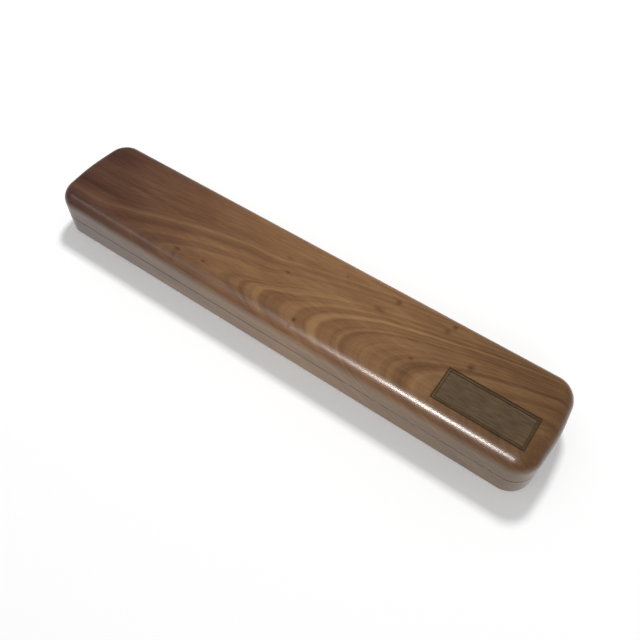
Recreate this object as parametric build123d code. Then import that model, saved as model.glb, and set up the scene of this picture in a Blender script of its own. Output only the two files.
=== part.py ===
from build123d import *
import os

# Wooden case for two conductor's batons: a routed base and lid on a pair of brass butt hinges,
# closed by disc magnets in the front rims, with a fitted cradle in the base and a padded lid.
# Millimetres. Origin: middle of the underside. X runs along the case, the front is at -Y, Z is up.

# Outside of the closed case
case_length = 444.0
case_width = 84.0
case_height = 42.0
seam_height = 17.5
corner_radius = 17.5
top_round = 12.5
bottom_round = 2.0
seam_ease = 0.3

# Walls of the base and the lid
side_wall = 10.0
end_wall = 12.0
floor_thickness = 3.5
ceiling_thickness = 5.5
cavity_corner_radius = 8.0

# Hinges
hinge_from_end = 91.0
hinge_length = 30.0
leaf_thickness = 1.2
leaf_seat = 8.0
leaf_gap = 0.3
leaf_corner_radius = 1.0
barrel_radius = 2.2
barrel_clearance = 0.3
pin_radius = 1.0
pin_clearance = 0.04
knuckle_count = 5
knuckle_gap = 0.2
mortise_clearance = 0.15

# Hinge screws
screw_spacing = 18.0
screw_edge_distance = 4.0
screw_length = 8.0
screw_shank_radius = 1.05
screw_head_radius = 2.0
screw_head_depth = 0.95
screw_tip_length = 1.6
screw_clearance = 0.05
slot_width = 0.5
slot_depth = 0.4

# Magnets
magnet_from_end = 35.0
magnet_radius = 4.0
magnet_thickness = 3.0
magnet_clearance = 0.05

# Linings
lining_clearance = 0.3
board_thickness = 1.0
cradle_drop = 0.8
pad_thickness = 4.5
pad_crown = 1.2
pad_edge_round = 3.5

# Baton recesses in the cradle
baton_spacing = 28.0
recess_end_margin = 5.5
recess_floor = 1.5
handle_length = 64.0
handle_radius = 11.5
shaft_groove_radius = 3.5
scoop_radius = 30.0
scoop_depth = 6.5
scoop_width = 46.0

# Places that follow from the sizes above
rear_face = case_width / 2
hinge_spacing = case_length - 2 * hinge_from_end
magnet_spacing = case_length - 2 * magnet_from_end
cavity_length = case_length - 2 * end_wall
cavity_width = case_width - 2 * side_wall
lining_length = cavity_length - 2 * lining_clearance
lining_width = cavity_width - 2 * lining_clearance
ceiling_height = case_height - ceiling_thickness
cradle_base = floor_thickness + board_thickness
cradle_top = seam_height - cradle_drop
pad_top = ceiling_height - board_thickness
pad_bottom = pad_top - pad_thickness
recess_length = lining_length - 2 * recess_end_margin
shaft_groove_length = recess_length - handle_length - shaft_groove_radius
baton_height = cradle_base + recess_floor + handle_radius
magnet_y = side_wall / 2 - rear_face
swing_radius = barrel_radius + barrel_clearance
pin_y = rear_face + swing_radius
leaf_top = leaf_gap / 2
leaf_bottom = leaf_top + leaf_thickness
leaf_reach = swing_radius + leaf_seat
screw_y = -(swing_radius + screw_edge_distance)
mortise_depth = leaf_bottom + mortise_clearance


def block(x_size, y_from, y_to, z_from, z_to):
    """Box centred on X that spans the given Y and Z ranges."""
    return Pos(0, (y_from + y_to) / 2, (z_from + z_to) / 2) * Box(x_size, y_to - y_from, z_to - z_from)


def rounded_block(length, width, radius, z_from, z_to):
    """Upright block on a rounded rectangle."""
    return Pos(0, 0, z_from) * extrude(RectangleRounded(length, width, radius), z_to - z_from)


def level_edges(solid, height):
    """Edges that lie level at the given height."""
    return solid.edges().filter_by_position(Axis.Z, height - 0.001, height + 0.001)


def both_sides(spacing):
    return (-spacing / 2, spacing / 2)


def along_x(radius, length):
    """Cylinder on the X axis, centred on the origin."""
    return Cylinder(radius, length, rotation=(0, 90, 0))


def closed_case():
    """Outside of the closed case, with its soft top edge and eased underside."""
    case = rounded_block(case_length, case_width, corner_radius, 0, case_height)
    case = fillet(level_edges(case, case_height), top_round)
    return fillet(level_edges(case, 0), bottom_round)


def cut_rim(half, direction):
    """Eases a rim and cuts its leaf seats, screw holes and magnet holes, down (-1) or up (1) from the seam."""
    half = chamfer(level_edges(half, seam_height), seam_ease)
    screw_hole_depth = leaf_top + screw_length + 2 * screw_clearance
    screw_hole = Cylinder(screw_shank_radius + screw_clearance, screw_hole_depth)
    magnet_hole_depth = magnet_thickness + 2 * magnet_clearance
    magnet_hole = Cylinder(magnet_radius + magnet_clearance, magnet_hole_depth)
    seat_length = hinge_length + 2 * mortise_clearance
    seat_front = rear_face - leaf_seat - mortise_clearance
    low, high = sorted((0, direction * mortise_depth))
    for x in both_sides(hinge_spacing):
        half -= Pos(x, 0, seam_height) * block(seat_length, seat_front, pin_y, low, high)
        for screw_x in both_sides(screw_spacing):
            middle = seam_height + direction * screw_hole_depth / 2
            half -= Pos(x + screw_x, pin_y + screw_y, middle) * screw_hole
    for x in both_sides(magnet_spacing):
        half -= Pos(x, magnet_y, seam_height + direction * magnet_hole_depth / 2) * magnet_hole
    return half


def base_shell():
    half = closed_case() & block(case_length, -rear_face, rear_face, 0, seam_height)
    half -= rounded_block(cavity_length, cavity_width, cavity_corner_radius, floor_thickness, seam_height)
    return cut_rim(half, -1)


def lid_shell():
    half = closed_case() & block(case_length, -rear_face, rear_face, seam_height, case_height)
    half -= rounded_block(cavity_length, cavity_width, cavity_corner_radius, seam_height, ceiling_height)
    return cut_rim(half, 1)


def lining(z_from, z_to):
    """Layer that fills the cavity's outline, less its clearance."""
    return rounded_block(lining_length, lining_width, cavity_corner_radius - lining_clearance, z_from, z_to)


def handle_recess():
    """Pear shape of a baton's handle: a round butt at X = 0, and a hollow taper to the shaft's groove."""
    bulb = Vector(handle_radius, 0)
    taper_run = handle_length - handle_radius
    taper_radius = ((taper_run**2 + shaft_groove_radius**2 - handle_radius**2)
                    / (2 * (handle_radius - shaft_groove_radius)))
    neck = Vector(handle_length, shaft_groove_radius)
    towards_taper = (neck + Vector(0, taper_radius) - bulb).normalized()
    shoulder = bulb + towards_taper * handle_radius
    butt = ThreePointArc((0, 0), bulb + Vector(-handle_radius, 0).rotate(Axis.Z, -45), shoulder)
    taper = TangentArc(shoulder, neck, tangent=butt % 1)
    closing = Polyline(neck, (handle_length, 0), (0, 0))
    return revolve(make_face([butt, taper, *closing.edges()]), Axis.X)


def baton_recess():
    """Handle recess, shaft groove and round tip of one baton, along +X from its butt."""
    groove = Pos(handle_length + shaft_groove_length / 2, 0, 0) * along_x(shaft_groove_radius, shaft_groove_length)
    tip = Pos(handle_length + shaft_groove_length, 0, 0) * Sphere(shaft_groove_radius)
    return handle_recess() + groove + tip


def base_cradle():
    """Foam block with two baton recesses, head to tail, and a finger scoop across them."""
    recess = Pos(-recess_length / 2, baton_spacing / 2, baton_height) * baton_recess()
    scoop = Cylinder(scoop_radius, scoop_width, rotation=(90, 0, 0))
    scoop = Pos(0, 0, cradle_top + scoop_radius - scoop_depth) * scoop
    return lining(cradle_base, cradle_top) - recess - Rot(0, 0, 180) * recess - scoop


def lid_pad():
    """Crowned pad on the lid's ceiling, with soft edges."""
    pad = lining(pad_bottom, pad_top)
    pad = fillet(level_edges(pad, pad_bottom), pad_edge_round)
    half_width = lining_width / 2
    edge_bottom = pad_bottom + pad_crown
    crown = ThreePointArc((-half_width, edge_bottom), (0, pad_bottom), (half_width, edge_bottom))
    sides = Polyline((half_width, edge_bottom), (half_width, pad_top), (-half_width, pad_top),
                     (-half_width, edge_bottom))
    section = Plane.YZ * make_face([crown, *sides.edges()])
    return pad & extrude(section, lining_length / 2, both=True)


def knuckle_spans(first):
    """X ranges of every second knuckle, from number first."""
    pitch = hinge_length / knuckle_count
    starts = [pitch * number - hinge_length / 2 for number in range(first, knuckle_count, 2)]
    return [(start + knuckle_gap / 2, start + pitch - knuckle_gap / 2) for start in starts]


def screw_body(extra):
    """Countersunk screw with the top of its head at Z = 0, pointing down, grown by extra round its axis."""
    shank_end = screw_tip_length - screw_length
    outline = Polyline((0, 0), (screw_head_radius + extra, 0), (screw_shank_radius + extra, -screw_head_depth),
                       (screw_shank_radius + extra, shank_end), (0, -screw_length), (0, 0))
    return revolve(Plane.XZ * make_face(outline.edges()), Axis.Z)


def hinge_leaf(first_knuckle):
    """Leaf below the pin's axis, which is X at the origin, with its plate to -Y and its own knuckles."""
    leaf = block(hinge_length, -leaf_reach, -swing_radius, -leaf_bottom, -leaf_top)
    front_corners = leaf.edges().filter_by(Axis.Z).group_by(Axis.Y)[0]
    leaf = fillet(front_corners, leaf_corner_radius)
    for x_from, x_to in knuckle_spans(first_knuckle):
        web = block(x_to - x_from, -swing_radius, 0, -leaf_bottom, -leaf_top)
        leaf += Pos((x_from + x_to) / 2, 0, 0) * (web + along_x(barrel_radius, x_to - x_from))
    leaf -= along_x(pin_radius + pin_clearance, hinge_length)
    for x in both_sides(screw_spacing):
        leaf -= Pos(x, screw_y, -leaf_top) * screw_body(screw_clearance)
    return leaf


def leaf_screws():
    """The two slotted screws of one leaf, in the leaf's own place."""
    screw = screw_body(0) - Box(2 * screw_head_radius, slot_width, 2 * slot_depth)
    return Compound([Pos(x, screw_y, -leaf_top - screw_clearance) * screw for x in both_sides(screw_spacing)])


def hinge_pieces(side, x):
    """One hinge. The lid's leaf and screws are the base's, turned over the pin."""
    place = Pos(x, pin_y, seam_height)
    return {
        f"{side}_hinge_base_leaf": place * hinge_leaf(0),
        f"{side}_hinge_base_screws": place * leaf_screws(),
        f"{side}_hinge_lid_leaf": place * mirror(hinge_leaf(1), Plane.XY),
        f"{side}_hinge_lid_screws": place * mirror(leaf_screws(), Plane.XY),
        f"{side}_hinge_pin": place * along_x(pin_radius, hinge_length),
    }


def magnet_pieces(side, x):
    """The pair of magnets that meet at the seam."""
    disc = Cylinder(magnet_radius, magnet_thickness)
    from_seam = magnet_clearance + magnet_thickness / 2
    return {
        f"{side}_base_magnet": Pos(x, magnet_y, seam_height - from_seam) * disc,
        f"{side}_lid_magnet": Pos(x, magnet_y, seam_height + from_seam) * disc,
    }


def all_pieces():
    pieces = {
        "base_shell": base_shell(),
        "lid_shell": lid_shell(),
        "cradle_board": lining(floor_thickness, cradle_base),
        "base_cradle": base_cradle(),
        "lid_pad_board": lining(pad_top, ceiling_height),
        "lid_pad": lid_pad(),
    }
    for side, x in zip(("left", "right"), both_sides(hinge_spacing)):
        pieces.update(hinge_pieces(side, x))
    for side, x in zip(("left", "right"), both_sides(magnet_spacing)):
        pieces.update(magnet_pieces(side, x))
    return pieces


os.makedirs("parts", exist_ok=True)
for node, shape in all_pieces().items():
    export_step(shape, f"parts/{node}.step")
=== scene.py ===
import math

import bmesh
import bpy
from mathutils import Matrix, Vector


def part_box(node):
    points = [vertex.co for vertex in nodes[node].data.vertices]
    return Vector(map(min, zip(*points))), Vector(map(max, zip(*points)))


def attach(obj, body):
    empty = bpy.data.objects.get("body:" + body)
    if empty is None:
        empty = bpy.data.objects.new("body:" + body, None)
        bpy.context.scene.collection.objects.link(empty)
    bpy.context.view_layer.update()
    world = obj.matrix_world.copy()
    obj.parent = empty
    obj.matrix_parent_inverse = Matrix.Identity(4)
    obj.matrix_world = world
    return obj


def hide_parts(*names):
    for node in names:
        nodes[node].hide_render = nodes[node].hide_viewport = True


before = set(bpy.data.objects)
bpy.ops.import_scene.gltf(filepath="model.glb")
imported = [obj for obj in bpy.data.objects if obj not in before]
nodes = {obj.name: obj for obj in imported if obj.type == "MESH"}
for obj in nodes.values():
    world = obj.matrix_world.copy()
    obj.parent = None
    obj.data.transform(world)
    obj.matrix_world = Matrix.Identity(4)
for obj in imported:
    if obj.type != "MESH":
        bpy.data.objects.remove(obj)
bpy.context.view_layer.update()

scene = bpy.context.scene

# One millimetre in metres. Lengths are in millimetres from here on, unless a comment says metres
MM = 0.001

# The camera, as fitted to the photograph's outline, seam and panel: degrees, millimetres, pixels of its frame
CAMERA_AZIMUTH = 34.02
CAMERA_ELEVATION = 54.53
CAMERA_ROLL = 1.32
CAMERA_DISTANCE = 547.1
CAMERA_TARGET = (23.26, 3.63, 0.0)
CAMERA_FOCAL_PIXELS = 679.3
FRAME_PIXELS = 640
SENSOR_WIDTH = 36.0
CLIP_START = 10.0

# The floor: its half width, the distances between which it turns fully white, in metres, and its own grey
FLOOR_HALF = 12.0
FLOOR_NEAR = 0.45
FLOOR_FAR = 1.6
FLOOR_GREY = 224

# The floor as the lacquer mirrors it: the grey it has, how far from the middle it stays bright, in metres, and
# the share of its light that it keeps further off
FLOOR_MIRRORED_GREY = 120
FLOOR_CLOSE_X = (0.26, 0.36)
FLOOR_CLOSE_Y = (0.08, 0.16)
FLOOR_FAR_SHARE = 0.1

# Shading: the most degrees between faces on a smooth edge, and between a true normal and its face's own. Then
# the decimals of a metre to which places are matched, and how near doubled points are that get joined
CREASE_ANGLE = 40.0
ALL_SMOOTH = 180.0
SAME_SURFACE_ANGLE = 30.0
PLACE_DIGITS = 6
MERGE_DISTANCE = 0.001

# The ends' bow: how far the corners draw in, the half width it takes, the straight part that is cut into
# steps, where along X it starts and is whole, the cavity it leaves alone, and the least that the faces of an
# end look along X
BOW = 2.0
BOW_REACH = 34.0
BOW_STRAIGHT_Y = 24.5
BOW_CUTS = 6
BOW_FROM_X = (200.0, 209.0)
BOW_CAVITY = (210.5, 32.6)
BOW_CAVITY_Z = (3.0, 37.0)
END_FACING = 0.02

# The cradle's velvet: the voxel it is remeshed at, and how it is softened
CRADLE_VOXEL = 1.0
CRADLE_SOFTENING = 0.5
CRADLE_ROUNDS = 4

# The lid's pad before it swells, as a share of its length, width and thickness, then the simulation's settings
PAD_START = (0.998, 0.985, 0.62)
PAD_VOXEL = 1.6
PAD_GLUE = 0.4
PAD_POINT_MASS = 0.002
PAD_PRESSURE = 4.0
PAD_BENDING = 0.2
PAD_STEPS = 20
PAD_CAP = 1.7

# The engraved panel on the lid's top, near its right end
PANEL_X = (136.7, 206.9)
PANEL_Y = (-29.9, -1.3)
PANEL_LINE = 1.0
PANEL_RIB = 1.1
PANEL_INNER_LINE = 0.6
PANEL_LINE_DEPTH = 0.55
PANEL_FIELD_DEPTH = 0.30
CUTTER_RISE = 1.0
PANEL_MARGIN = 0.01
FLUSH_MARGIN = 0.001

# The walnut's growth rings, seen on the lid's top as arches that crown at low x and open towards +X. They
# wander, slant over the left part, lie closer along the back of the middle arches and shift with the depth
ARCH_AXIS_Y = -25.0
ARCH_CURVE = 0.049
ARCH_CURVE_IN_FRONT = 0.02
ARCH_DEPTH_RATE = 1.5
ARCHED_FROM_X = -32.0
ARCH_EASE = 20.0
RING_WANDER = 1.5
LEFT_SLANT_X = (5.0, -190.0)
LEFT_SLANT_RISE = 21.0
LEFT_SLANT_LEVEL_Y = 40.0
NARROW_ARCH_BY = 14.0
NARROW_ARCH_RINGS = (30.0, 6.0)
NARROW_ARCH_FLANK = (2.0, 13.0)
NARROW_ARCH_FROM_X = (-50.0, -15.0)

# Light and dark bands across the arches: the x at which each crowns, and how light it is
RING_BANDS = (
    (-130, 0.46), (-111, 0.36), (-100, 0.42), (-91, 0.54), (-88.5, 0.70), (-85, 0.84), (-82, 0.68),
    (-78, 0.46), (-70, 0.28), (-64, 0.52), (-59, 0.62), (-53, 0.52), (-47.6, 0.32), (-43, 0.52),
    (-39, 0.70), (-34, 0.52), (-29, 0.58), (-25.3, 0.28), (-22.5, 0.60), (-19.3, 0.28), (-16.5, 0.58),
    (-12.5, 0.66), (-9.5, 0.90), (-7, 0.72), (-4, 0.30), (7, 0.26), (13, 0.62), (19, 0.64), (26, 0.32),
    (34, 0.26), (37, 0.92), (42, 0.86), (45, 0.30), (52, 0.44), (57, 0.38), (61, 0.48), (66, 0.26),
    (71, 0.34), (74, 0.60), (78, 0.48), (83, 0.62), (88, 0.42), (95, 0.56), (99, 0.42), (105, 0.60),
    (111, 0.08), (117, 0.26), (123, 0.72), (132, 0.66), (145, 0.54),
)

# How the bands change: random ones take over at both ends of the list, all fade to a plain level below the
# top, and the left rings are calmer where they run far to the right
BANDS_EASE = (25, 10)
BANDS_PLAIN = 0.5
BANDS_FADE_DEPTH = (7, 1)
BANDS_BELOW_TOP = 0.4
WIDE_BAND = 26
CALM_RINGS = (12.0, 2.0)
CALM_LEAN = 0.8
CALM_FROM = (-5.0, 20.0)
CALM_BY = 0.5

# Size of the wood's noise cells along X, Y and Z, then the width of its fine lines, and the noise levels at
# which a pore begins and is whole
WANDER_CELL = (60, 40, 40)
STREAK_CELL = (70, 3.5, 3.5)
FIBRE_CELL = (12, 0.7, 0.7)
BLOTCH_CELL = (40, 16, 16)
PORE_CELL = (2.6, 0.22, 0.22)
SHEEN_CELL = (30, 12, 12)
FINE_LINE = 4.5
PORE_RANGE = (0.62, 0.72)

# How much each part of the figure adds to the wood's lightness, and how much the fibre adds to its relief
BAND_SHARE = 0.35
LINE_SHARE = 0.26
STREAK_SHARE = 0.22
FIBRE_SHARE = 0.30
BLOTCH_SHARE = 0.28
PORE_SHARE = -0.12
LIGHTNESS_SHIFT = -0.195
RELIEF_FIBRE = 0.35

# Pin knots and dark streaks on the top: x and y of the middle, length along X and width, and how dark each is.
# They fade out at this many times their half length and width
DARK_MARKS = (
    (-91, -30, 5.0, 3.0, 0.26), (-91, -36, 3.0, 6.0, 0.15), (-66, -28, 3.0, 2.0, 0.26),
    (-61, -29, 7.0, 1.6, 0.12), (-12, 13.5, 5.0, 1.6, 0.20), (-6, 1.5, 3.0, 1.6, 0.20),
    (24, -32, 2.6, 2.6, 0.28), (23, -37, 2.0, 2.0, 0.28), (34, 24.5, 2.4, 2.0, 0.20),
    (70, 12.5, 8.0, 3.6, 0.20), (79, 26, 4.0, 3.6, 0.26), (111, -11, 3.0, 2.0, 0.26),
    (121, 24, 4.0, 3.6, 0.20), (124, 30.5, 3.4, 3.4, 0.28), (149, 6.5, 4.0, 4.6, 0.26),
    (-188, -16, 60, 7, 0.15), (-140, 2, 110, 3, 0.08), (-208, 20, 44, 11, 0.12),
)
MARK_EDGE = 2.0

# Where the wood's tints begin and are whole: along X, by how far a face looks along X or up, near the seam
# (painted shade), past panel's edge and below the top. Then the burnt field's streaks along X and Y, and how
# burnt it is
LEFT_END_X = (30, -230)
RIGHT_END_X = (45, 222)
END_GRAIN_FACING = (0.55, 1.0)
END_GRAIN_SHARE = 0.45
UPRIGHT_FACING = (1.0, 0.7)
SEAM_SHADE_REACH = (0.9, 0.25)
SIDE_FACING = (0.45, 0.05)
ROUNDOVER_FACING = ((0.1, 0.4), (0.9, 0.6))
SCORCH_EDGE = (0.8, -0.4)
SCORCH_DEPTH = (2, 1)
CHAR_CELL = (9.0, 1.1)
BURNT_SHARE = 0.75
GROOVE_MARGIN = 0.02

# The wood's tints, which multiply its colour, as 0 to 255 on screen or, where over 255 is needed, as factors.
# Some are painted light or shade
# Both ends are darker: partly the wood's own tone, partly painted shade where the light falls off towards them
LEFT_END_TONE_AND_SHADE = (167, 149, 172)
RIGHT_END_TONE_AND_SHADE = (205, 203, 194)
END_GRAIN_TINT = (150, 140, 135)
# Painted shade: the dark line of the gap along the seam between lid and base
SEAM_PAINTED_SHADE = (120, 96, 84)
SCORCH_TINT = (205, 212, 206)
GROOVE_TINT = (212, 208, 200)
# Painted light: upright sides lighter and yellower, for the light falling on them and the pale floor they
# mirror
SIDE_PAINTED_LIGHT_FACTORS = (1.09, 1.14, 0.97, 1.0)
# Painted light: the rounded edges between top and sides lighter and redder, as if lit more
ROUNDOVER_PAINTED_LIGHT_FACTORS = (1.30, 1.18, 1.05, 1.0)

# The materials' colours: the place on the ramp, and the colour as 0 to 255 on screen
WALNUT_COLOURS = (
    (0.0, (66, 39, 22)), (0.28, (99, 67, 41)), (0.5, (126, 90, 58)), (0.72, (149, 114, 74)),
    (1.0, (167, 133, 90)),
)
BURNT_COLOURS = ((0.3, (62, 49, 32)), (0.7, (98, 79, 52)))
VELVET_COLOURS = ((0.2, (58, 12, 22)), (0.55, (92, 20, 34)), (0.9, (124, 34, 50)))
VELVET_SHEEN = (226, 150, 160)
BRASS_COLOURS = ((0.3, (168, 128, 62)), (0.6, (214, 176, 98)), (0.8, (226, 192, 118)))
NICKEL_COLOURS = ((0.3, (186, 184, 178)), (0.8, (214, 212, 206)))
BOARD_COLOURS = ((0.3, (56, 48, 46)), (0.7, (86, 74, 70)))

# Size of the other materials' noise cells along X, Y and Z
BRASS_RUB_CELL = (5, 1 / 3, 1 / 3)
NICKEL_SCRATCH_CELL = (1 / 4, 2.5, 1)
BOARD_FIBRE_CELL = (1.25, 1 / 2.2, 1)

# How light the velvet's pile is, and how much its brushed patches and its nap add to that
PILE_LIGHTNESS = -0.15
PILE_BRUSHED = 0.7
PILE_NAP = 0.6

# How rough the lacquer and the metals are, and how much their noise adds to that
LACQUER_ROUGHNESS = 0.42
LACQUER_UNEVEN = 0.12
BRASS_ROUGHNESS = 0.26
BRASS_RUBBED = 0.16
BRASS_TARNISHED = -0.12
NICKEL_ROUGHNESS = 0.08
NICKEL_SCRATCHED = 0.22

WHITE = (1.0, 1.0, 1.0, 1.0)


def srgb(red, green, blue):
    """Linear RGBA of a colour given as 0 to 255 on screen, by the sRGB standard's own curve."""
    def linear(value):
        value /= 255
        return value / 12.92 if value <= 0.04045 else ((value + 0.055) / 1.055) ** 2.4
    return (linear(red), linear(green), linear(blue), 1.0)


class Shader:
    """A material's node tree, with short calls that take numbers, tuples or other nodes' outputs."""

    def __init__(self, name):
        self.material = bpy.data.materials.new(name)
        self.material.use_nodes = True
        self.tree = self.material.node_tree
        self.bsdf = self.tree.nodes["Principled BSDF"]

    def feed(self, socket, value):
        """Links another node's output to the socket, or sets the socket's own value."""
        if isinstance(value, bpy.types.NodeSocket):
            self.tree.links.new(value, socket)
        else:
            socket.default_value = value

    def node(self, kind, inputs=(), output=0, **settings):
        """A new node's output. Inputs and output go by name or, where names repeat, by index."""
        made = self.tree.nodes.new("ShaderNode" + kind)
        for key, value in settings.items():
            setattr(made, key, value)
        for key, value in dict(inputs).items():
            self.feed(made.inputs[key], value)
        return made.outputs[output]

    def math(self, operation, *values):
        return self.node("Math", dict(enumerate(values)), operation=operation)

    def add(self, *values):
        total = values[0]
        for value in values[1:]:
            total = self.math("ADD", total, value)
        return total

    def scaled(self, value, factor, offset=0.0):
        """The value times factor, plus offset."""
        return self.math("MULTIPLY_ADD", value, factor, offset)

    def ramp(self, value, low, high):
        """0 where value is at low, 1 where it is at high, smooth between. low may be above high."""
        return self.node("MapRange", {"Value": value, "From Min": low, "From Max": high},
                         interpolation_type="SMOOTHSTEP")

    def blend(self, factor, first, second):
        """A number between two others, by the Mix node's inputs for numbers."""
        return self.node("Mix", {0: factor, 2: first, 3: second})

    def vector(self, x, y, z):
        return self.node("CombineXYZ", {"X": x, "Y": y, "Z": z})

    def noise(self, vector=None, w=None, scale=1.0, detail=2.0, roughness=0.5, distortion=0.0):
        inputs = {"Scale": scale, "Detail": detail, "Roughness": roughness, "Distortion": distortion}
        if vector is None:
            return self.node("TexNoise", {**inputs, "W": w}, noise_dimensions="1D")
        return self.node("TexNoise", {**inputs, "Vector": vector}, noise_dimensions="3D")

    def grain(self, place, cell, **settings):
        """Noise whose cells have their own size along each axis."""
        stretched = [self.scaled(value, 1 / size) for value, size in zip(place, cell)]
        return self.noise(self.vector(*stretched), **settings)

    def mix(self, factor, first, second, blend="MIX"):
        """A colour between two others, by the Mix node's inputs and output for colours."""
        mixed = self.tree.nodes.new("ShaderNodeMix")
        mixed.data_type = "RGBA"
        mixed.blend_type = blend
        for index, value in ((0, factor), (6, first), (7, second)):
            self.feed(mixed.inputs[index], value)
        return mixed.outputs[2]

    def tinted(self, colour, share, tint):
        """The colour multiplied by the tint, as far as share says."""
        return self.mix(share, colour, tint, "MULTIPLY")

    def colours(self, value, stops):
        """Colour ramp over value; each stop is a position and a colour as 0 to 255 on screen."""
        made = self.tree.nodes.new("ShaderNodeValToRGB")
        elements = made.color_ramp.elements
        while len(elements) < len(stops):
            elements.new(0.5)
        for element, (position, colour) in zip(elements, stops):
            element.position = position
            element.color = srgb(*colour)
        self.feed(made.inputs[0], value)
        return made.outputs[0]

    def curve(self, value, points):
        """Value read off a smooth curve through points, which are places and levels in rising order."""
        made = self.tree.nodes.new("ShaderNodeFloatCurve")
        line = made.mapping.curves[0]
        low, high = points[0][0], points[-1][0]
        places = [((position - low) / (high - low), level) for position, level in points]
        line.points[0].location = places[0]
        line.points[1].location = places[-1]
        for place in places[1:-1]:
            line.points.new(*place)
        made.mapping.update()
        share = self.node("MapRange", {"Value": value, "From Min": low, "From Max": high})
        self.feed(made.inputs["Value"], share)
        return made.outputs[0]

    def bump(self, height, strength, distance):
        """The normal of a relief; distance, in metres, is how far a height of 1 stands out."""
        return self.node("Bump", {"Height": height, "Strength": strength, "Distance": distance})

    def finish(self, **inputs):
        """Sets or links the surface shader's inputs, named with underscores for spaces."""
        for key, value in inputs.items():
            self.feed(self.bsdf.inputs[key.replace("_", " ")], value)
        return self.material

    def place_mm(self):
        """The surface point in millimetres, as x, y, z in the case's own frame."""
        place = self.node("TexCoord", output="Object")
        scaled = self.node("VectorMath", {0: place, 1: (1 / MM, 1 / MM, 1 / MM)}, operation="MULTIPLY")
        split = self.tree.nodes.new("ShaderNodeSeparateXYZ")
        self.feed(split.inputs[0], scaled)
        return split.outputs[0], split.outputs[1], split.outputs[2]

    def facing(self, axis):
        """How far the surface looks along an axis, either way: 0 for not at all, 1 for straight."""
        outward = self.node("TexCoord", output="Normal")
        return self.math("ABSOLUTE", self.node("SeparateXYZ", {0: outward}, output=axis))


def ring_place(s, x, y, z, top):
    """Place along X at which the ring through a point crowns on the lid's top."""
    wander = s.grain((x, y, z), WANDER_CELL, detail=2.0)
    slant = s.math("MULTIPLY", s.ramp(x, *LEFT_SLANT_X), s.scaled(y, -1 / LEFT_SLANT_LEVEL_Y, 1.0))
    across = s.add(y, s.scaled(slant, LEFT_SLANT_RISE), s.scaled(wander, 2 * RING_WANDER, -RING_WANDER),
                   -ARCH_AXIS_Y)
    behind = s.math("POWER", s.math("MAXIMUM", across, 0.0), 2.0)
    in_front = s.math("POWER", s.math("MINIMUM", across, 0.0), 2.0)
    ahead = s.add(x, -ARCHED_FROM_X)
    eased = s.math("SQRT", s.add(s.math("POWER", ahead, 2.0), ARCH_EASE ** 2))
    crown = s.scaled(s.add(ahead, eased), 0.5, ARCHED_FROM_X)
    depth = s.scaled(z, ARCH_DEPTH_RATE, -top * ARCH_DEPTH_RATE)
    plain = s.add(crown, s.scaled(behind, -ARCH_CURVE), s.scaled(in_front, -ARCH_CURVE_IN_FRONT))
    flank = s.ramp(across, *NARROW_ARCH_FLANK)
    narrow = s.math("MULTIPLY", s.ramp(plain, *NARROW_ARCH_RINGS), flank)
    narrow = s.math("MULTIPLY", narrow, s.ramp(x, *NARROW_ARCH_FROM_X))
    return s.add(plain, s.scaled(narrow, -NARROW_ARCH_BY), depth)


def ring_bands(s, x, z, ring, top):
    """How light the bands of the growth rings are at a point."""
    low, high = RING_BANDS[0][0], RING_BANDS[-1][0]
    past_low = s.ramp(ring, low, low + BANDS_EASE[0])
    listed = s.math("MULTIPLY", past_low, s.ramp(ring, high, high - BANDS_EASE[1]))
    wide = s.noise(w=s.scaled(ring, 1 / WIDE_BAND), detail=2.0)
    level = s.blend(listed, wide, s.curve(ring, RING_BANDS))
    near_top = s.ramp(z, top - BANDS_FADE_DEPTH[0], top - BANDS_FADE_DEPTH[1])
    shown = s.scaled(near_top, 1 - BANDS_BELOW_TOP, BANDS_BELOW_TOP)
    level = s.blend(shown, BANDS_PLAIN, level)
    leaning = s.add(x, s.scaled(ring, -CALM_LEAN))
    calm = s.math("MULTIPLY", s.ramp(ring, *CALM_RINGS), s.ramp(leaning, *CALM_FROM))
    return s.blend(s.scaled(calm, CALM_BY), level, BANDS_PLAIN)


def dark_marks(s, x, y, level):
    """The wood's lightness with the pin knots and dark streaks taken off."""
    for mark_x, mark_y, length, width, dark in DARK_MARKS:
        aside = s.vector(s.scaled(x, 2 / length, -2 * mark_x / length),
                         s.scaled(y, 2 / width, -2 * mark_y / width), 0)
        distance = s.node("VectorMath", {0: aside}, output="Value", operation="LENGTH")
        level = s.add(level, s.scaled(s.ramp(distance, MARK_EDGE, 0.0), -dark))
    return level


def on_panel(s, x, y, z, top):
    """1 on the panel, fading just past its outline and below the top."""
    beside = []
    for place, (low_side, high_side) in ((x, PANEL_X), (y, PANEL_Y)):
        half = (high_side - low_side) / 2
        away = s.math("ABSOLUTE", s.add(place, -low_side - half))
        beside.append(s.ramp(away, half + SCORCH_EDGE[0], half + SCORCH_EDGE[1]))
    near_top = s.ramp(z, top - SCORCH_DEPTH[0], top - SCORCH_DEPTH[1])
    return s.math("MULTIPLY", s.math("MULTIPLY", *beside), near_top)


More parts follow.
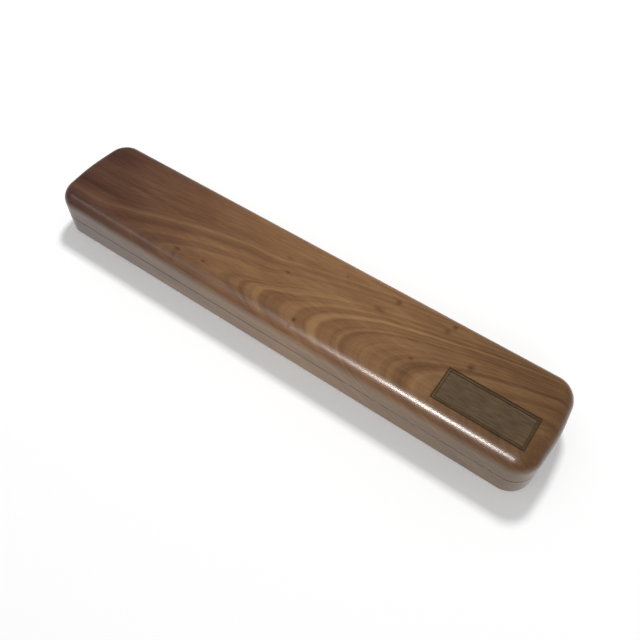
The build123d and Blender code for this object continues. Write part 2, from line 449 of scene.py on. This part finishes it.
def weathered(s, wood, x, y, z, top):
    """The wood's colour with its ends darker (partly painted shade), end grain, painted shade along the seam,
    scorched panel, and painted light on the sides and roundover edges.
    """
    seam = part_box("lid_shell")[0].z / MM
    # Darker towards both ends: partly the wood's tone, partly painted shade
    wood = s.tinted(wood, s.ramp(x, *LEFT_END_X), srgb(*LEFT_END_TONE_AND_SHADE))
    wood = s.tinted(wood, s.ramp(x, *RIGHT_END_X), srgb(*RIGHT_END_TONE_AND_SHADE))
    end = s.ramp(s.facing(0), *END_GRAIN_FACING)
    wood = s.tinted(wood, s.scaled(end, END_GRAIN_SHARE), srgb(*END_GRAIN_TINT))
    up = s.facing(2)
    # Painted shade in the gap along the seam, on upright faces
    near_seam = s.ramp(s.math("ABSOLUTE", s.add(z, -seam)), *SEAM_SHADE_REACH)
    seam_shade = s.math("MULTIPLY", s.ramp(up, *UPRIGHT_FACING), near_seam)
    wood = s.tinted(wood, seam_shade, srgb(*SEAM_PAINTED_SHADE))
    wood = s.tinted(wood, on_panel(s, x, y, z, top), srgb(*SCORCH_TINT))
    # Painted light on the upright sides
    wood = s.tinted(wood, s.ramp(up, *SIDE_FACING), SIDE_PAINTED_LIGHT_FACTORS)
    # Painted light on the rounded edges between top and sides
    rub_marks_and_lit_roundover = s.math("MULTIPLY", *[s.ramp(up, *facing) for facing in ROUNDOVER_FACING])
    return s.tinted(wood, rub_marks_and_lit_roundover, ROUNDOVER_PAINTED_LIGHT_FACTORS)


def walnut(name, engraved=False):
    """Satin lacquered walnut with its figure, pores, pin knots and darker ends, painted shade along the seam
    and painted light on its sides and rounded edges, or the same wood burnt dark.
    """
    s = Shader(name)
    x, y, z = place = s.place_mm()
    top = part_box("lid_shell")[1].z / MM
    ring = ring_place(s, x, y, z, top)
    bands = ring_bands(s, x, z, ring, top)
    lines = s.noise(w=s.scaled(ring, 1 / FINE_LINE), detail=3.0, roughness=0.6)
    streaks = s.grain(place, STREAK_CELL, detail=3.0)
    fibre = s.grain(place, FIBRE_CELL, detail=3.0)
    blotch = s.grain(place, BLOTCH_CELL, detail=3.0)
    pores = s.ramp(s.grain(place, PORE_CELL, detail=1.0), *PORE_RANGE)
    level = s.add(s.scaled(bands, BAND_SHARE), s.scaled(lines, LINE_SHARE), s.scaled(streaks, STREAK_SHARE),
                  s.scaled(fibre, FIBRE_SHARE), s.scaled(blotch, BLOTCH_SHARE), s.scaled(pores, PORE_SHARE),
                  LIGHTNESS_SHIFT)
    wood = s.colours(dark_marks(s, x, y, level), WALNUT_COLOURS)
    wood = weathered(s, wood, x, y, z, top)
    relief = s.add(s.scaled(pores, -1.0), s.scaled(fibre, RELIEF_FIBRE))
    if engraved:
        along, across = s.scaled(x, 1 / CHAR_CELL[0]), s.scaled(y, 1 / CHAR_CELL[1])
        char = s.noise(s.vector(along, across, 0.0), detail=4.0)
        wood = s.mix(BURNT_SHARE, wood, s.colours(char, BURNT_COLOURS))
        groove = s.ramp(z, top - PANEL_FIELD_DEPTH - GROOVE_MARGIN, top - PANEL_LINE_DEPTH)
        wood = s.tinted(wood, groove, srgb(*GROOVE_TINT))
        charred = s.bump(s.add(relief, char), strength=0.5, distance=0.00012)
        return s.finish(Base_Color=wood, Roughness=0.62, Normal=charred)
    sheen = s.grain(place, SHEEN_CELL, detail=3.0)
    rough = s.scaled(sheen, LACQUER_UNEVEN, LACQUER_ROUGHNESS)
    return s.finish(Base_Color=wood, Roughness=rough, Specular_IOR_Level=0.2,
                    Coat_Weight=0.7, Coat_Roughness=0.27, Coat_IOR=1.5,
                    Normal=s.bump(relief, strength=0.22, distance=0.00006))


def velvet(name):
    """Short burgundy pile: dark base, pale sheen, brushed patches and a fine nap."""
    s = Shader(name)
    here = s.vector(*s.place_mm())
    brushed = s.noise(here, scale=0.045, detail=3.0, distortion=0.6)
    nap = s.noise(here, scale=2.4, detail=3.0, roughness=0.7)
    pile = s.add(s.scaled(brushed, PILE_BRUSHED), s.scaled(nap, PILE_NAP), PILE_LIGHTNESS)
    return s.finish(Base_Color=s.colours(pile, VELVET_COLOURS), Roughness=0.9, Specular_IOR_Level=0.15,
                    Sheen_Weight=0.85, Sheen_Roughness=0.35, Sheen_Tint=srgb(*VELVET_SHEEN),
                    Normal=s.bump(nap, strength=0.6, distance=0.0002))


def brass(name):
    """Polished brass with faint rubbing marks and duller, darker patches."""
    s = Shader(name)
    place = s.place_mm()
    rub_marks_and_lit_roundover = s.grain(place, BRASS_RUB_CELL, detail=3.0)
    tarnish = s.noise(s.vector(*place), scale=0.25, detail=4.0, roughness=0.65)
    rough = s.add(s.scaled(rub_marks_and_lit_roundover, BRASS_RUBBED), s.scaled(tarnish, BRASS_TARNISHED), BRASS_ROUGHNESS)
    return s.finish(Base_Color=s.colours(tarnish, BRASS_COLOURS), Metallic=1.0, Roughness=rough,
                    Normal=s.bump(rub_marks_and_lit_roundover, strength=0.12, distance=0.00004))


def nickel(name):
    """Bright nickel plate with fine scratches."""
    s = Shader(name)
    place = s.place_mm()
    scratch = s.grain(place, NICKEL_SCRATCH_CELL, detail=3.0)
    cloud = s.noise(s.vector(*place), scale=0.4, detail=2.0)
    rough = s.scaled(scratch, NICKEL_SCRATCHED, NICKEL_ROUGHNESS)
    return s.finish(Base_Color=s.colours(cloud, NICKEL_COLOURS), Metallic=1.0, Roughness=rough,
                    Normal=s.bump(scratch, strength=0.08, distance=0.00003))


def greyboard(name):
    """Dark grey pressed board with visible fibres."""
    s = Shader(name)
    fibre = s.grain(s.place_mm(), BOARD_FIBRE_CELL, detail=4.0, roughness=0.7)
    return s.finish(Base_Color=s.colours(fibre, BOARD_COLOURS), Roughness=0.9,
                    Normal=s.bump(fibre, strength=0.3, distance=0.0001))


def give(piece, *materials):
    """Puts materials in the piece's slots, in order."""
    piece.data.materials.clear()
    for material in materials:
        piece.data.materials.append(material)


def smooth(piece, angle):
    """Smooth shading with crisp edges above the angle, in degrees."""
    piece.data.polygons.foreach_set("use_smooth", [True] * len(piece.data.polygons))
    piece.data.set_sharp_from_angle(angle=math.radians(angle))


def best_normal(choices, face):
    """The choice nearest to the face's own normal, or that normal where none is on the same surface."""
    best = max(choices, key=face.normal.dot, default=face.normal)
    same = best.dot(face.normal) > math.cos(math.radians(SAME_SURFACE_ANGLE))
    return Vector(best) if same else Vector(face.normal)


def shade(piece, known):
    """Gives the piece the known normals at the corners that have one, and flat shading elsewhere."""
    mesh = piece.data
    normals = []
    for face in mesh.polygons:
        for corner in face.loop_indices:
            place = mesh.vertices[mesh.loops[corner].vertex_index].co.to_tuple(PLACE_DIGITS)
            normals.append(best_normal(known.get(place, ()), face))
    smooth(piece, CREASE_ANGLE)
    mesh.normals_split_custom_set(normals)


def end_bow(place):
    """How far a bowed end lies inside the solid's straight one, in metres, and its slope along Y."""
    x, y, z = (abs(value) / MM for value in place)
    in_cavity = x < BOW_CAVITY[0] and y < BOW_CAVITY[1] and BOW_CAVITY_Z[0] < z < BOW_CAVITY_Z[1]
    run = min(max((x - BOW_FROM_X[0]) / (BOW_FROM_X[1] - BOW_FROM_X[0]), 0.0), 1.0)
    share = min(y / BOW_REACH, 1.0)
    depth = 0.0 if in_cavity else BOW * run * run * (3 - 2 * run)
    # Across Y the bow is level in the middle and at its reach
    return depth * share**2 * (2 - share**2) * MM, depth * 4 * share * (1 - share**2) / BOW_REACH


def section_place(place):
    """The point's x and z, which it shares with the rest of its line along Y."""
    return round(place.x, PLACE_DIGITS), round(place.z, PLACE_DIGITS)


def with_end_cuts(name, source):
    """A copy of a mesh, with its doubled points joined and the faces of both ends cut into steps along Y."""
    cut = bmesh.new()
    cut.from_mesh(source)
    bmesh.ops.remove_doubles(cut, verts=cut.verts, dist=MERGE_DISTANCE * MM)
    for step in range(1 - BOW_CUTS, BOW_CUTS):
        ends = []
        for face in cut.faces:
            middle_x = face.calc_center_median().x
            if abs(middle_x) > BOW_FROM_X[1] * MM and face.normal.x * math.copysign(1, middle_x) > END_FACING:
                ends.append(face)
        around = {item for face in ends for item in (*face.edges, *face.verts)}
        level = step / BOW_CUTS * BOW_STRAIGHT_Y * MM
        bmesh.ops.bisect_plane(cut, geom=[*ends, *around], plane_co=(0, level, 0), plane_no=(0, 1, 0))
    mesh = bpy.data.meshes.new(name)
    cut.to_mesh(mesh)
    cut.free()
    return mesh


def bowed_shell(name, node):
    """A copy of a shell with both ends bowed out between their corners, and its normals by place."""
    source = nodes[node].data
    by_place = {}
    by_section = {}
    for corner, normal in zip(source.loops, source.corner_normals):
        place = source.vertices[corner.vertex_index].co
        by_place.setdefault(place.to_tuple(PLACE_DIGITS), []).append(Vector(normal.vector))
        by_section.setdefault(section_place(place), []).append(Vector(normal.vector))
    mesh = with_end_cuts(name, source)
    known = {}
    moved = {vertex.index: end_bow(vertex.co) for vertex in mesh.vertices}
    for face in mesh.polygons:
        for index in face.vertices:
            place = mesh.vertices[index].co
            amount, slope = moved[index]
            # A point that was cut in has no normal of its own, so it takes one from its line along Y
            section = by_section.get(section_place(place), ())
            normal = best_normal(by_place.get(place.to_tuple(PLACE_DIGITS), section), face)
            normal.y += abs(normal.x) * slope * math.copysign(1, place.y)
            new_place = Vector((place.x - math.copysign(amount, place.x), place.y, place.z))
            known.setdefault(new_place.to_tuple(PLACE_DIGITS), []).append(normal.normalized())
    for vertex in mesh.vertices:
        vertex.co.x -= math.copysign(moved[vertex.index][0], vertex.co.x)
    return new_piece(name, mesh), known


def new_piece(name, mesh):
    piece = bpy.data.objects.new(name, mesh)
    scene.collection.objects.link(piece)
    return piece


def applied(piece):
    """Replaces the piece's mesh with the result of its modifiers."""
    graph = bpy.context.evaluated_depsgraph_get()
    mesh = bpy.data.meshes.new_from_object(piece.evaluated_get(graph))
    old = piece.data
    piece.modifiers.clear()
    piece.data = mesh
    bpy.data.meshes.remove(old)


def add_remesh(piece, voxel):
    """Adds a modifier that turns the piece into one even skin, with a voxel in millimetres."""
    skin = piece.modifiers.new("skin", "REMESH")
    skin.mode = "VOXEL"
    skin.voxel_size = voxel * MM


def add_box(mesh, low, high):
    """Adds a box between two corners, in millimetres."""
    corners = bmesh.ops.create_cube(mesh, size=1.0)["verts"]
    size = [(b - a) * MM for a, b in zip(low, high)]
    middle = [(a + b) / 2 * MM for a, b in zip(low, high)]
    bmesh.ops.scale(mesh, vec=size, verts=corners)
    bmesh.ops.translate(mesh, vec=middle, verts=corners)


def add_frame(mesh, x, y, width, low, high):
    """Adds a rectangular ring of square section, with its outer edge at x and y, in millimetres."""
    rings = []
    for inset in (0.0, width):
        left, right, front, back = x[0] + inset, x[1] - inset, y[0] + inset, y[1] - inset
        for z in (low, high):
            plan = ((left, front), (right, front), (right, back), (left, back))
            rings.append([mesh.verts.new(Vector((px, py, z)) * MM) for px, py in plan])
    outer_low, outer_high, inner_low, inner_high = rings
    for i in range(4):
        j = (i + 1) % 4
        mesh.faces.new((outer_low[i], outer_low[j], outer_high[j], outer_high[i]))
        mesh.faces.new((outer_high[i], outer_high[j], inner_high[j], inner_high[i]))
        mesh.faces.new((inner_high[i], inner_high[j], inner_low[j], inner_low[i]))
        mesh.faces.new((inner_low[i], inner_low[j], outer_low[j], outer_low[i]))


def panel_cutter(top):
    """The panel's cutter: a border line, and a field with a deeper line round it, apart by the rib's width."""
    above = top + CUTTER_RISE
    cutter_mesh = bmesh.new()
    add_frame(cutter_mesh, PANEL_X, PANEL_Y, PANEL_LINE, top - PANEL_LINE_DEPTH, above)
    inset = PANEL_LINE + PANEL_RIB
    field_x = (PANEL_X[0] + inset, PANEL_X[1] - inset)
    field_y = (PANEL_Y[0] + inset, PANEL_Y[1] - inset)
    add_frame(cutter_mesh, field_x, field_y, PANEL_INNER_LINE, top - PANEL_LINE_DEPTH, above)
    inset = PANEL_INNER_LINE / 2
    add_box(cutter_mesh, (field_x[0] + inset, field_y[0] + inset, top - PANEL_FIELD_DEPTH),
            (field_x[1] - inset, field_y[1] - inset, above))
    mesh = bpy.data.meshes.new("panel_cutter")
    cutter_mesh.to_mesh(mesh)
    cutter_mesh.free()
    return new_piece("panel_cutter", mesh)


def carved_lid(wood, engraved):
    """The lid's shell with the panel cut into its top: a border line, a rib left standing and a sunk field."""
    lid, known = bowed_shell("lid_with_panel", "lid_shell")
    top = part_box("lid_shell")[1].z / MM
    cutter = panel_cutter(top)
    give(lid, wood, engraved)
    cut = lid.modifiers.new("panel", "BOOLEAN")
    cut.operation = "DIFFERENCE"
    cut.solver = "EXACT"
    cut.use_self = True
    cut.object = cutter
    applied(lid)
    bpy.data.objects.remove(cutter)
    for face in lid.data.polygons:
        x, y, z = face.center / MM
        in_x = PANEL_X[0] - PANEL_MARGIN < x < PANEL_X[1] + PANEL_MARGIN
        in_y = PANEL_Y[0] - PANEL_MARGIN < y < PANEL_Y[1] + PANEL_MARGIN
        sunk = top - PANEL_LINE_DEPTH - PANEL_MARGIN < z < top - FLUSH_MARGIN
        face.material_index = 1 if in_x and in_y and sunk else 0
    shade(lid, known)
    return lid


def soft_copy(name, node, voxel, softening, rounds):
    """A node's shape as one even skin with softened edges."""
    piece = new_piece(name, nodes[node].data.copy())
    add_remesh(piece, voxel)
    soften = piece.modifiers.new("soften", "SMOOTH")
    soften.factor = softening
    soften.iterations = rounds
    applied(piece)
    smooth(piece, ALL_SMOOTH)
    return piece


def swell(piece, glued):
    """Swells the piece by a cloth simulation under pressure, with the glued points held."""
    cloth = piece.modifiers.new("swell", "CLOTH")
    cloth.settings.mass = PAD_POINT_MASS
    cloth.settings.use_pressure = True
    cloth.settings.uniform_pressure_force = PAD_PRESSURE
    cloth.settings.effector_weights.gravity = 0.0
    cloth.settings.vertex_group_mass = glued.name
    cloth.settings.bending_stiffness = PAD_BENDING
    for step in range(1, PAD_STEPS + 1):
        scene.frame_set(step)
    applied(piece)
    scene.frame_set(1)


def swollen_pad(name, node):
    """A node's shape as a padded skin glued to its board: shrunk, remeshed, then swollen as cloth."""
    low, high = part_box(node)
    piece = new_piece(name, nodes[node].data.copy())
    # The middle of its back, towards which it shrinks
    held = Vector(((low.x + high.x) / 2, (low.y + high.y) / 2, high.z))
    for vertex in piece.data.vertices:
        vertex.co = [at + (value - at) * share for value, at, share in zip(vertex.co, held, PAD_START)]
    add_remesh(piece, PAD_VOXEL)
    applied(piece)
    glued = piece.vertex_groups.new(name="glued")
    places = [vertex.co.copy() for vertex in piece.data.vertices]
    glued.add([i for i, place in enumerate(places) if abs(place.z - held.z) < PAD_GLUE * MM], 1.0, "REPLACE")
    swell(piece, glued)
    # No point moves further than the cap or leaves the solid's box
    for vertex, place in zip(piece.data.vertices, places):
        move = vertex.co - place
        if move.length > PAD_CAP * MM:
            vertex.co = place + move.normalized() * PAD_CAP * MM
        vertex.co = [min(max(value, least), most) for value, least, most in zip(vertex.co, low, high)]
    rounder = piece.modifiers.new("rounder", "SUBSURF")
    rounder.levels = 1
    applied(piece)
    smooth(piece, ALL_SMOOTH)
    return piece


def make_camera():
    """Camera at the photograph's viewing angle."""
    azimuth, elevation, roll = map(math.radians, (CAMERA_AZIMUTH, CAMERA_ELEVATION, CAMERA_ROLL))
    back = Vector((math.sin(azimuth) * math.cos(elevation), -math.cos(azimuth) * math.cos(elevation),
                   math.sin(elevation)))
    right = (-back).cross(Vector((0, 0, 1))).normalized()
    up = right.cross(-back)
    tilted_right = math.cos(roll) * right + math.sin(roll) * up
    tilted_up = math.cos(roll) * up - math.sin(roll) * right
    turn = Matrix((tilted_right, tilted_up, back)).transposed().to_4x4()
    lens = bpy.data.cameras.new("camera")
    lens.sensor_width = SENSOR_WIDTH
    lens.lens = CAMERA_FOCAL_PIXELS / FRAME_PIXELS * SENSOR_WIDTH
    lens.clip_start = CLIP_START * MM
    camera = bpy.data.objects.new("camera", lens)
    place = (Vector(CAMERA_TARGET) + back * CAMERA_DISTANCE) * MM
    camera.matrix_world = Matrix.Translation(place) @ turn
    scene.collection.objects.link(camera)
    scene.camera = camera


def make_lamp(name, place, size, power, only):
    """Soft rectangular lamp aimed at the case, in metres and watts, for diffuse or glossy light only."""
    light = bpy.data.lights.new(name, "AREA")
    light.energy = power
    light.shape = "RECTANGLE"
    light.size, light.size_y = size
    lamp = bpy.data.objects.new(name, light)
    lamp.location = place
    lamp.rotation_euler = (-Vector(place)).to_track_quat("-Z", "Y").to_euler()
    lamp.visible_diffuse = only == "diffuse"
    lamp.visible_glossy = only == "glossy"
    scene.collection.objects.link(lamp)


def make_world(ambient, mirrored, seen):
    """Even light from all round, dimmer in reflections, with a white background where the camera sees it."""
    world = bpy.data.worlds.new("studio")
    scene.world = world
    world.use_nodes = True
    tree = world.node_tree
    background = tree.nodes["Background"]
    background.inputs["Color"].default_value = WHITE
    rays = tree.nodes.new("ShaderNodeLightPath")
    strength = None
    for ray, level in (("Is Glossy Ray", mirrored), ("Is Camera Ray", seen)):
        chosen = tree.nodes.new("ShaderNodeMapRange")
        chosen.inputs["To Min"].default_value = ambient
        if strength:
            tree.links.new(strength, chosen.inputs["To Min"])
        chosen.inputs["To Max"].default_value = level
        tree.links.new(rays.outputs[ray], chosen.inputs["Value"])
        strength = chosen.outputs[0]
    tree.links.new(strength, background.inputs["Strength"])


def make_floor(seen, mirrored):
    """Pale floor that keeps the shadow, with light of its own where it is seen far off or mirrored."""
    s = Shader("floor")
    rays = s.tree.nodes.new("ShaderNodeLightPath")
    mirror = s.math("MAXIMUM", rays.outputs["Is Glossy Ray"], rays.outputs["Is Transmission Ray"])
    here = s.node("TexCoord", output="Object")
    away = s.node("VectorMath", {0: here}, output="Value", operation="LENGTH")
    seen_level = s.scaled(s.ramp(away, FLOOR_NEAR, FLOOR_FAR), 1.0 - seen, seen)
    close_by = []
    for axis, (near, far) in enumerate((FLOOR_CLOSE_X, FLOOR_CLOSE_Y)):
        aside = s.math("ABSOLUTE", s.node("SeparateXYZ", {0: here}, output=axis))
        close_by.append(s.ramp(aside, far, near))
    mirrored_level = s.scaled(s.math("MULTIPLY", *close_by), mirrored * (1 - FLOOR_FAR_SHARE),
                              mirrored * FLOOR_FAR_SHARE)
    own = s.add(s.math("MULTIPLY", rays.outputs["Is Camera Ray"], seen_level),
                s.math("MULTIPLY", mirror, mirrored_level))
    greys = [srgb(grey, grey, grey) for grey in (FLOOR_GREY, FLOOR_MIRRORED_GREY)]
    s.finish(Base_Color=s.mix(rays.outputs["Is Glossy Ray"], *greys), Roughness=0.9,
             Specular_IOR_Level=0.0, Emission_Color=WHITE, Emission_Strength=own)
    mesh = bpy.data.meshes.new("floor")
    corners = [(x * FLOOR_HALF, y * FLOOR_HALF, 0) for x, y in ((-1, -1), (1, -1), (1, 1), (-1, 1))]
    mesh.from_pydata(corners, [], [(0, 1, 2, 3)])
    floor = new_piece("floor", mesh)
    give(floor, s.material)


make_camera()
make_world(ambient=0.44, mirrored=0.15, seen=1.0)
make_floor(seen=0.21, mirrored=0.85)
make_lamp("key", place=(-0.33, 1.05, 1.85), size=(0.34, 0.34), power=33.5, only="diffuse")
make_lamp("fill", place=(0.85, -1.30, 0.80), size=(0.9, 0.9), power=4.5, only="diffuse")
make_lamp("highlight", place=(0.02, -0.80, 0.78), size=(0.28, 0.22), power=14.5, only="glossy")
make_lamp("faint_highlight", place=(-0.95, -0.72, 0.78), size=(0.5, 0.08), power=0.75, only="glossy")

walnut_wood = walnut("walnut")
walnut_engraved = walnut("walnut_engraved", engraved=True)
burgundy = velvet("velvet")
brass_metal = brass("brass")
nickel_plate = nickel("nickel")
board = greyboard("greyboard")

for name, node in nodes.items():
    if "hinge" in name:
        give(node, brass_metal)
    elif "magnet" in name:
        give(node, nickel_plate)
    elif "board" in name:
        give(node, board)
    else:
        give(node, walnut_wood)

base, base_normals = bowed_shell("base_with_bowed_ends", "base_shell")
give(base, walnut_wood)
shade(base, base_normals)
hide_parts("base_shell")
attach(base, "base")

lid = carved_lid(walnut_wood, walnut_engraved)
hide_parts("lid_shell")
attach(lid, "lid")

cradle = soft_copy("cradle_velvet", "base_cradle", CRADLE_VOXEL, CRADLE_SOFTENING, CRADLE_ROUNDS)
give(cradle, burgundy)
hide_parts("base_cradle")
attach(cradle, "base")

pad = swollen_pad("lid_pad_velvet", "lid_pad")
give(pad, burgundy)
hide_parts("lid_pad")
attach(pad, "lid")

scene.view_settings.view_transform = "Standard"
